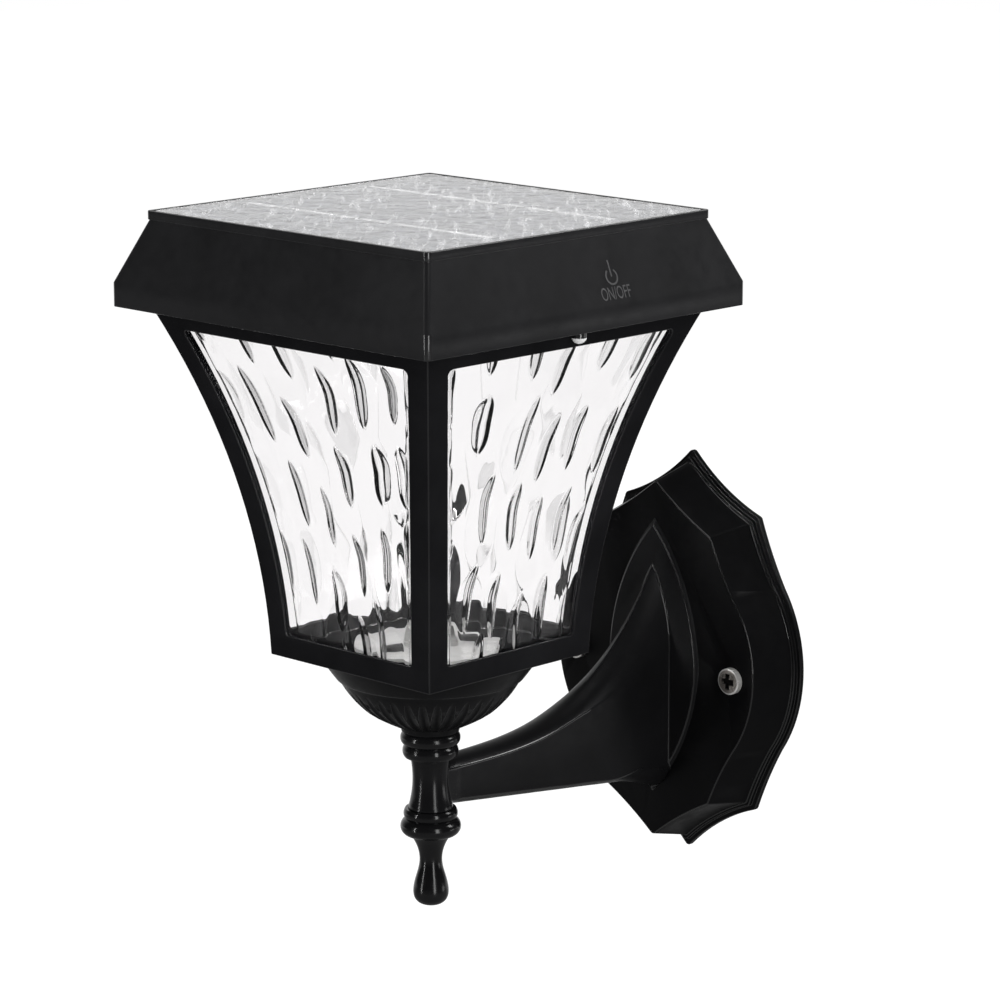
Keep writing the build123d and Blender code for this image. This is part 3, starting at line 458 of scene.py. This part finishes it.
def shell_black(name, tone, roughness, specular, edge_specular):
    """Black moulding whose rounded edges, worn smooth, shine more than its faces."""
    material = moulded(name, tone, roughness, specular)
    tree = material.node_tree
    shader = tree.nodes["Principled BSDF"]
    edge = add(tree, "Attribute", {"attribute_name": "edge"}).outputs["Fac"]
    shine = spread(tree, edge, specular, edge_specular, 0.0, 1.0)
    tree.links.new(shine, shader.inputs["Specular IOR Level"])
    smoother = spread(tree, edge, 1.0, EDGE_ROUGHNESS_SHARE, 0.0, 1.0)
    satin = joined(tree, "MULTIPLY", fed(shader, "Roughness"), smoother)
    tree.links.new(satin, shader.inputs["Roughness"])
    return material


def make_arm_black(hub_roughness, hub_specular):
    """The arm's satin black, turning glossy on the turned hub about the lantern's axis."""
    material = shell_black("arm_black", BLACK, 0.38, 0.08, 0.5)
    tree = material.node_tree
    shader = tree.nodes["Principled BSDF"]
    reach = spread(tree, own_axes(tree)["Y"], 0.0, 1.0, lantern_y + HUB_REACH[0], lantern_y + HUB_REACH[1])
    for socket, hub_value in (("Roughness", hub_roughness), ("Specular IOR Level", hub_specular)):
        mixed = add(tree, "Mix")
        mixed.inputs["A"].default_value = hub_value
        tree.links.new(reach, mixed.inputs["Factor"])
        tree.links.new(fed(shader, socket), mixed.inputs["B"])
        tree.links.new(mixed.outputs["Result"], shader.inputs[socket])
    return material


finishes = {
    "black": shell_black("black", shaded(BLACK, 1.75), 0.36, 0.13, 0.5),
    "gloss_black": moulded(
        "gloss_black", shaded(BLACK, 0.8), 0.16, 0.22, grain=500.0, grain_depth=0.01 * MM
    ),
    "panel_clear": make_panel_clear(),
    "cell": make_cell(),
    "ribbon": moulded("ribbon", (0.80, 0.80, 0.80), 0.5, 0.5),
    "backing": moulded("backing", (0.05, 0.05, 0.055), 0.5, 0.4),
    "seal": moulded("seal", (0.02, 0.02, 0.02), 0.75, 0.2),
    "steel": metal("steel", (0.55, 0.55, 0.54), 0.3),
    "bright_screw": make_wall_screw((0.2, 0.185, 0.17), 0.3, 0.6),
    "dark_screw": metal("dark_screw", (0.06, 0.06, 0.06), 0.4),
    "battery_wrap": moulded("battery_wrap", (0.05, 0.16, 0.40), 0.25, 0.5),
    "holder": moulded("holder", (0.02, 0.02, 0.02), 0.5, 0.4),
    "board": moulded("board", (0.02, 0.14, 0.05), 0.3, 0.5),
    "component": moulded("component", (0.03, 0.03, 0.035), 0.4, 0.5),
    "led_panel": moulded("led_panel", (0.80, 0.80, 0.78), 0.4, 0.5),
    "phosphor": moulded("phosphor", (0.85, 0.66, 0.12), 0.35, 0.5),
    "opal": make_opal(),
    "window": make_glass(),
    "reflector": moulded("reflector", (0.62, 0.62, 0.61), 0.35, 0.5, mottle=90.0),
    "wire_red": moulded("wire_red", (0.45, 0.02, 0.015), 0.4, 0.5),
    "wire_white": moulded("wire_white", (0.70, 0.69, 0.66), 0.4, 0.5),
    "spring_steel": metal("spring_steel", (0.6, 0.6, 0.6), 0.28),
    "button_chrome": make_button(),
    "plunger": moulded("plunger", (0.5, 0.5, 0.48), 0.4, 0.5),
}
shell_finishes = {
    "cap_shell": finishes["black"],
    "lantern_frame": shell_black("frame_black", shaded(BLACK, 1.7), 0.36, 0.0, 0.3),
    "arm": make_arm_black(0.17, 0.16),
    "wall_plate": shell_black("plate_black", shaded(BLACK, 0.6), 0.34, 0.04, 0.5),
    "bowl": shell_black("bowl_black", shaded(BLACK, 0.8), 0.36, 0.08, 0.25),
}
mark_grey = moulded("mark_grey", (0.042, 0.042, 0.044), 0.55, 0.3)


def finish_nodes():
    """Each CAD piece gets the finish of its slot."""
    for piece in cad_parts.values():
        for index, material in enumerate(piece.data.materials):
            piece.data.materials[index] = finishes[material.name.split(".")[0]]


# Pieces


def add_piece(name, mesh, material, replaced=None):
    """Links a finished mesh as a piece of the root body."""
    piece = bpy.data.objects.new(name, mesh)
    bpy.context.scene.collection.objects.link(piece)
    mesh.materials.clear()
    mesh.materials.append(material)
    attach(piece, "root")
    if replaced:
        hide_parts(replaced)
    return piece


def smooth(mesh, angle=radians(30)):
    """Smooth shading, except over edges sharper than an angle."""
    mesh.polygons.foreach_set("use_smooth", [True] * len(mesh.polygons))
    mesh.set_sharp_from_angle(angle=angle)


def is_corner(normal):
    """Whether a face belongs to an upright rounded corner."""
    return min(abs(normal.x), abs(normal.y)) > CORNER_TURN and abs(normal.z) < CORNER_RISE


def rounded(node, radius, material):
    """A moulded shell with its sharp edges rounded, which stands for the CAD piece."""
    shape = bmesh.new()
    shape.from_mesh(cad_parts[node].data)
    on_edge = shape.faces.layers.float.new("edge")
    bmesh.ops.remove_doubles(shape, verts=shape.verts, dist=WELD)
    bmesh.ops.dissolve_limit(shape, angle_limit=FLAT_ANGLE, verts=shape.verts, edges=shape.edges)
    sharp = [edge for edge in shape.edges if edge.is_manifold and edge.calc_face_angle() > SHARP_ANGLE]
    made = bmesh.ops.bevel(shape, geom=sharp, offset=radius, segments=2, profile=0.5, affect="EDGES")
    turned = [face for face in shape.faces if is_corner(face.normal)] if node == "cap_shell" else []
    for face in made["faces"] + turned:
        face[on_edge] = 1.0
    mesh = bpy.data.meshes.new(node + "_moulded")
    shape.to_mesh(mesh)
    shape.free()
    smooth(mesh)
    return add_piece(node + "_moulded", mesh, material, node)


def grid_faces(rows, columns, start=0, flip=False):
    """Quads over a grid of vertices that is stored row by row."""
    faces = []
    for row in range(rows - 1):
        for column in range(columns - 1):
            here = start + row * columns + column
            quad = (here, here + 1, here + columns + 1, here + columns)
            faces.append(quad[::-1] if flip else quad)
    return faces


def rim_faces(rows, columns, offset):
    """Quads that close the four sides between two equal grids, the second one offset vertices later."""
    bottom = list(range(columns))
    right = [row * columns + columns - 1 for row in range(1, rows)]
    top = [(rows - 1) * columns + column for column in range(columns - 2, -1, -1)]
    left = [row * columns for row in range(rows - 2, 0, -1)]
    ring = bottom + right + top + left
    return [(b, a, a + offset, b + offset) for a, b in zip(ring, ring[1:] + ring[:1])]


def slab_mesh(name, front, back):
    """Closed sheet between two grids of points, each of shape rows x columns x 3."""
    rows, columns = front.shape[:2]
    count = rows * columns
    points = np.concatenate([front.reshape(-1, 3), back.reshape(-1, 3)])
    faces = grid_faces(rows, columns)
    faces += grid_faces(rows, columns, count, True)
    faces += rim_faces(rows, columns, count)
    mesh = bpy.data.meshes.new(name)
    mesh.from_pydata(points.tolist(), [], faces)
    mesh.validate()
    return mesh


def relief_sites(middle, low, high, rng):
    """Jittered places for the relief, in columns that start at different levels."""
    count = round(2 * middle / COLUMN_PITCH)
    pitch = 2 * middle / count
    rows = int((high - low) / ROW_PITCH) + 2
    sites = []
    for column in range(-1, count + 1):
        start = rng.random()
        for row in range(-1, rows):
            shift = rng.uniform(-SITE_JITTER, SITE_JITTER, 2)
            across = -middle + (column + 0.5 + shift[0]) * pitch
            level = low + (row + start + JITTER_UP * shift[1]) * ROW_PITCH
            sites.append((across, level))
    return sites


def pillows(across, z, sites):
    """Depth of soft pillows below their tops, from 0 to about 1 in the creases between."""
    total = np.zeros_like(across)
    for x, level in sites:
        near = ((across - x) / PILLOW_HALF_WIDTH) ** 2 + ((z - level) / PILLOW_HALF_HEIGHT) ** 2
        total += np.exp(-PILLOW_CREASE * near)
    return np.clip(-np.log(total + 1e-12) / PILLOW_CREASE, 0.0, 1.0)


def dimple(across, z, site, side, rng):
    """Depth and painted shade of one long dimple with steep rims, its top end bent to a side."""
    half_length = rng.uniform(*DIMPLE_HALF_LENGTH)
    half_width_here = rng.uniform(*DIMPLE_HALF_WIDTH)
    depth = rng.uniform(*DIMPLE_DEPTH)
    lean = tan(rng.uniform(-DIMPLE_TILT, DIMPLE_TILT))
    hook = side * rng.uniform(*DIMPLE_HOOK)
    fill = rng.uniform(*DIMPLE_PAINTED_SHADE)
    if rng.random() < WIDE_SHARE:
        half_width_here = WIDE_HALF_WIDTH
        fill = WIDE_PAINTED_SHADE
    along = (z - site[1]) / half_length
    taper = np.clip(1.0 - np.abs(along) ** DIMPLE_BLUNTNESS, 1e-6, None)
    middle_line = site[0] + lean * (z - site[1]) + hook * np.clip(along, 0.0, None) ** 2
    aside = (across - middle_line) / (half_width_here * taper)
    inside = (np.abs(along) < 1.0) & (np.abs(aside) < 1.0)
    cut = np.where(inside, depth * taper * (1.0 - aside**2), 0.0)
    return cut, np.where(inside, fill * (1.0 - aside**4), 0.0)


def pane_relief(across, z, middle, side, seed):
    """Depth of a pane's pillows with the dimples cut into them, and the dimples' painted shade."""
    rng = np.random.default_rng(seed)
    cut = PILLOW_DEPTH * pillows(across, z, relief_sites(middle, z.min(), z.max(), rng))
    deepest = np.zeros_like(across)
    darkest = np.zeros_like(across)
    for site in relief_sites(middle, z.min(), z.max(), rng):
        depth, dark = dimple(across, z, site, side, rng)
        deepest = np.maximum(deepest, depth)
        darkest = np.maximum(darkest, dark)
    return np.minimum(cut + deepest, CUT_LIMIT), darkest


def painted_rim_shade(cut, x, z, side):
    """Painted shade on each point of the relief, by its slope, fuller on one flank than on the other."""
    up = np.gradient(cut, z[:, 0], axis=0)
    aside = np.gradient(cut, axis=1) / np.gradient(x, axis=1)
    slope = np.hypot(up, aside) * np.where(aside * side > 0, 1.0, LIT_FLANK_PAINTED_SHADE)
    return np.clip((slope - RIM_SLOPE[0]) / (RIM_SLOPE[1] - RIM_SLOPE[0]), 0.0, 1.0)


def ripple_pane(node, turn, side, darkness, seed):
    """One bent pane, smooth outside and with its relief inside a flat border."""
    low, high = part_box(node)
    rows = int((high.z - low.z) / RELIEF_STEP_UP)
    levels = np.linspace(low.z, high.z, rows)
    lap = half_width(levels, POST_WIDTH - PANE_LAP)
    columns = int(2 * lap.max() / RELIEF_STEP_ACROSS)
    share = np.linspace(-1.0, 1.0, columns)
    x = lap[:, None] * share[None, :]
    z = np.repeat(levels[:, None], columns, axis=1)

    middle = float(lap.mean())
    across = middle * np.repeat(share[None, :], rows, axis=0)
    border = half_width(z, POST_WIDTH + MARGIN) - np.abs(x)
    within = np.clip(border / MARGIN_SOFTNESS, 0.0, 1.0)
    cut, dark = pane_relief(across, z, middle, side, seed)
    groove = GROOVE_DEPTH * np.clip(1.0 - np.abs(border) / GROOVE_HALF_WIDTH, 0.0, 1.0)
    cut = np.maximum(cut * within, groove)
    # painted shade: the dimples' darkness joined with the darkness painted on steep rims
    dark = np.maximum(dark * within, painted_rim_shade(cut, x, z, side))

    front = np.stack([x, -half_width(z, PANE_INSET), z], axis=-1)
    back = np.stack([x, -half_width(z, PANE_INSET + PANE_THICKNESS) - cut, z], axis=-1)
    mesh = slab_mesh(node + "_rippled", front, back)
    # painted shade on the relief face only, scaled for each pane
    shade = np.concatenate([np.zeros(rows * columns), darkness * dark.ravel()])
    mesh.attributes.new("rim", "FLOAT", "POINT").data.foreach_set("value", shade)
    mesh.transform(Matrix.Translation((0, lantern_y, 0)) @ Matrix.Rotation(radians(turn), 4, "Z"))
    smooth(mesh, RELIEF_SHARP_ANGLE)
    return add_piece(node + "_rippled", mesh, finishes["window"], node)


def round_corners(x, y, half, radius):
    """Grid coordinates of a square, with its corner squares pressed into quarter discs."""
    a = np.clip((np.abs(x) - (half - radius)) / radius, 0.0, 1.0)
    b = np.clip((np.abs(y) - (half - radius)) / radius, 0.0, 1.0)
    in_corner = (a > 0) & (b > 0)
    turned_x = half - radius + radius * a * np.sqrt(1.0 - b**2 / 2)
    turned_y = half - radius + radius * b * np.sqrt(1.0 - a**2 / 2)
    x = np.where(in_corner, np.sign(x) * turned_x, x)
    y = np.where(in_corner, np.sign(y) * turned_y, y)
    return x, y


def solar_cover():
    """Cast clear cover with a wavy top, over the cells."""
    low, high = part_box("panel_cover")
    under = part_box("cell_ribbons")[1].z + COVER_GAP
    half = (high.x - low.x) / 2
    count = int(2 * half / COVER_STEP)
    steps = np.linspace(-half, half, count)
    x, y = round_corners(*np.meshgrid(steps, steps), half, COVER_CORNER)
    y = y + (low.y + high.y) / 2
    top = np.empty_like(x)
    for row in range(count):
        for column in range(count):
            at = Vector((x[row, column], y[row, column], 0)) / COVER_WAVE_LENGTH
            wave = noise.noise(at) + FINE_WAVE * noise.noise(at * FINE_WAVE_SHARE)
            top[row, column] = high.z - COVER_WAVE * (1.0 - max(-1.0, min(1.0, wave)))
    front = np.stack([x, y, top], axis=-1)
    back = np.stack([x, y, np.full_like(x, under)], axis=-1)
    mesh = slab_mesh("panel_cover_cast", front, back)
    smooth(mesh, RELIEF_SHARP_ANGLE)
    return add_piece("panel_cover_cast", mesh, finishes["panel_clear"], "panel_cover")


def pressed_spring():
    """Return spring, on a mesh of its own, in place of the CAD piece."""
    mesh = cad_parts["return_spring"].data.copy()
    steel = finishes["spring_steel"]
    spring = add_piece("return_spring_coils", mesh, steel, "return_spring")
    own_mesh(spring)


def sector(radius, stroke, start, end, steps):
    """Flat ring sector as a list of points, from one angle to another and back."""
    angles = [start + (end - start) * index / steps for index in range(steps + 1)]
    outside = [((radius + stroke / 2) * cos(a), (radius + stroke / 2) * sin(a)) for a in angles]
    inside = [((radius - stroke / 2) * cos(a), (radius - stroke / 2) * sin(a)) for a in reversed(angles)]
    return outside + inside


def raised(outlines):
    """Thin solid over flat outlines, with its foot on z = 0."""
    shape = bmesh.new()
    for outline in outlines:
        face = shape.faces.new([shape.verts.new((x, y, 0.0)) for x, y in outline])
        moved = bmesh.ops.extrude_face_region(shape, geom=[face])["geom"]
        bmesh.ops.translate(
            shape, verts=[v for v in moved if isinstance(v, bmesh.types.BMVert)], vec=(0, 0, MARK_THICKNESS)
        )
    bmesh.ops.recalc_face_normals(shape, faces=shape.faces)
    mesh = bpy.data.meshes.new("mark")
    shape.to_mesh(mesh)
    shape.free()
    return mesh


def word_mesh(text):
    """Thin raised lettering, scaled to its width and height, about its middle."""
    curve = bpy.data.curves.new("word", "FONT")
    curve.body = text
    curve.extrude = 0.5
    holder = bpy.data.objects.new("word", curve)
    mesh = bpy.data.meshes.new_from_object(holder)
    bpy.data.objects.remove(holder)
    points = np.array([v.co for v in mesh.vertices])
    low, high = points.min(0), points.max(0)
    grow = np.array([WORD_WIDTH, WORD_HEIGHT, MARK_THICKNESS]) / (high - low)
    mesh.transform(Matrix.Translation((-(low[0] + high[0]) / 2, -(low[1] + high[1]) / 2, -low[2])))
    mesh.transform(Matrix.Diagonal((*grow, 1.0)))
    return mesh


def on_slope(z):
    """Placement on the cap's +X sloping face, at a level: x along +Y, y up the slope, z outwards."""
    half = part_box("cap_shell")[1].x
    lean = (half - CAP_TOP_HALF) / (SLOPE_TOP_Z - SKIRT_TOP_Z)
    x = half - lean * (z - SKIRT_TOP_Z)
    up = Vector((-lean, 0, 1)).normalized()
    along = Vector((0, 1, 0))
    out = along.cross(up)
    turn = Matrix((along, up, out)).transposed().to_4x4()
    return Matrix.Translation((x, MARK_Y, z)) @ turn


def switch_marks():
    """Plain power symbol and switch word on the cap's side, above the button."""
    radius = RING_RADIUS - STROKE / 2
    middle = -RING_DROP
    ring = [(x, y + middle) for x, y in sector(radius, STROKE, *RING_ENDS, RING_STEPS)]
    top = SYMBOL_HEIGHT / 2
    bar = [(-STROKE / 2, middle), (STROKE / 2, middle), (STROKE / 2, top), (-STROKE / 2, top)]
    symbol = raised([ring, bar])
    symbol.transform(on_slope(SYMBOL_Z))
    add_piece("power_symbol", symbol, mark_grey)
    word = word_mesh("ON/OFF")
    word.transform(on_slope(WORD_Z))
    add_piece("switch_word", word, mark_grey)


# Studio


def any_ray(tree, names):
    """1 for rays of any of the named kinds."""
    path = add(tree, "LightPath")
    total = path.outputs[names[0]]
    for name in names[1:]:
        total = joined(tree, "MAXIMUM", total, path.outputs[name])
    return total


def backdrop_share(tree, coordinates, least, fade):
    """1 towards the white backdrop behind the object, falling off to a least share away from it."""
    facing = add(tree, "VectorMath", {"operation": "DOT_PRODUCT"})
    facing.inputs[1].default_value = BACKDROP_WAY
    tree.links.new(add(tree, "TexCoord").outputs[coordinates], facing.inputs[0])
    return spread(tree, facing.outputs["Value"], least, 1.0, *fade)


def background(tree, strength):
    """A white background shader."""
    made = add(tree, "Background", Strength=strength)
    made.inputs["Color"].default_value = (1.0, 1.0, 1.0, 1.0)
    return made


def blend(tree, share, first, second):
    """The first shader, turning into the second with a share."""
    mixed = add(tree, "MixShader")
    tree.links.new(share, mixed.inputs["Fac"])
    tree.links.new(first, mixed.inputs[1])
    tree.links.new(second, mixed.inputs[2])
    return mixed.outputs["Shader"]


def make_world(light):
    """Soft light all round, white to the eye and through glass, and a backdrop for reflections."""
    world = bpy.data.worlds.new("studio")
    bpy.context.scene.world = world
    world.use_nodes = True
    tree = world.node_tree
    tree.nodes.remove(tree.nodes["Background"])
    soft = background(tree, light).outputs["Background"]
    white = background(tree, 1.0).outputs["Background"]
    mirrored = background(tree, 1.0)
    share = backdrop_share(tree, "Generated", ROOM_LEVEL, BACKDROP_FADE)
    tree.links.new(share, mirrored.inputs["Strength"])
    shown = blend(tree, any_ray(tree, ["Is Glossy Ray"]), soft, mirrored.outputs["Background"])
    shown = blend(tree, any_ray(tree, ["Is Camera Ray", "Is Transmission Ray"]), shown, white)
    tree.links.new(shown, tree.nodes["World Output"].inputs["Surface"])


def make_floor(level, size):
    """Pale floor that reads as the white background and keeps the shadow."""
    mesh = bpy.data.meshes.new("floor")
    corners = [(-size, -size, level), (size, -size, level), (size, size, level), (-size, size, level)]
    mesh.from_pydata(corners, [], [(0, 1, 2, 3)])
    floor = bpy.data.objects.new("floor", mesh)
    bpy.context.scene.collection.objects.link(floor)
    material, tree, shader = new_material("floor")
    shader.inputs["Base Color"].default_value = (FLOOR_TONE, FLOOR_TONE, FLOOR_TONE, 1.0)
    shader.inputs["Roughness"].default_value = 0.9
    shader.inputs["Specular IOR Level"].default_value = 0.0
    shader.inputs["Emission Color"].default_value = (1.0, 1.0, 1.0, 1.0)
    behind = backdrop_share(tree, "Object", 0.0, FLOOR_FADE)
    mirrored = joined(tree, "MULTIPLY", any_ray(tree, ["Is Glossy Ray"]), behind)
    seen = joined(tree, "MAXIMUM", any_ray(tree, ["Is Camera Ray", "Is Transmission Ray"]), mirrored)
    tree.links.new(spread(tree, seen, 0.0, FLOOR_GLOW, 0.0, 1.0), shader.inputs["Emission Strength"])
    mesh.materials.append(material)


def add_lamp(name, azimuth, elevation, width, height, radiance):
    """Soft rectangular lamp around the stem; azimuth 0 is in front and 90 is to the right."""
    turn = radians(azimuth)
    rise = radians(elevation)
    way = Vector((sin(turn) * cos(rise), -cos(turn) * cos(rise), sin(rise)))
    lamp = bpy.data.lights.new(name, "AREA")
    lamp.shape = "RECTANGLE"
    lamp.size = width
    lamp.size_y = height
    lamp.energy = pi * width * height * radiance
    holder = bpy.data.objects.new(name, lamp)
    holder.location = LAMP_AIM + LAMP_DISTANCE * way
    holder.rotation_euler = (-way).to_track_quat("-Z", "Y").to_euler()
    bpy.context.scene.collection.objects.link(holder)


def add_camera():
    """The one camera, looking at the lantern from above its front corner."""
    lens = bpy.data.cameras.new("camera")
    lens.lens = CAMERA_LENS
    lens.sensor_width = SENSOR_WIDTH
    holder = bpy.data.objects.new("camera", lens)
    holder.location = CAMERA_PLACE
    holder.rotation_euler = (CAMERA_AIM - CAMERA_PLACE).to_track_quat("-Z", "Y").to_euler()
    bpy.context.scene.collection.objects.link(holder)
    bpy.context.scene.camera = holder


finish_nodes()
for node, radius in EDGE_ROUND.items():
    rounded(node, radius, shell_finishes[node])
for index, (name, (side, darkness)) in enumerate(PANES.items()):
    ripple_pane("window_" + name, 90 * index, side, darkness, PANE_SEED + index)
solar_cover()
pressed_spring()
switch_marks()

make_world(ROOM_LIGHT)
make_floor(FLOOR_LEVEL, FLOOR_HALF)
for name, settings in LAMPS.items():
    add_lamp(name, *settings)
add_camera()
bpy.context.scene.view_settings.view_transform = "Standard"
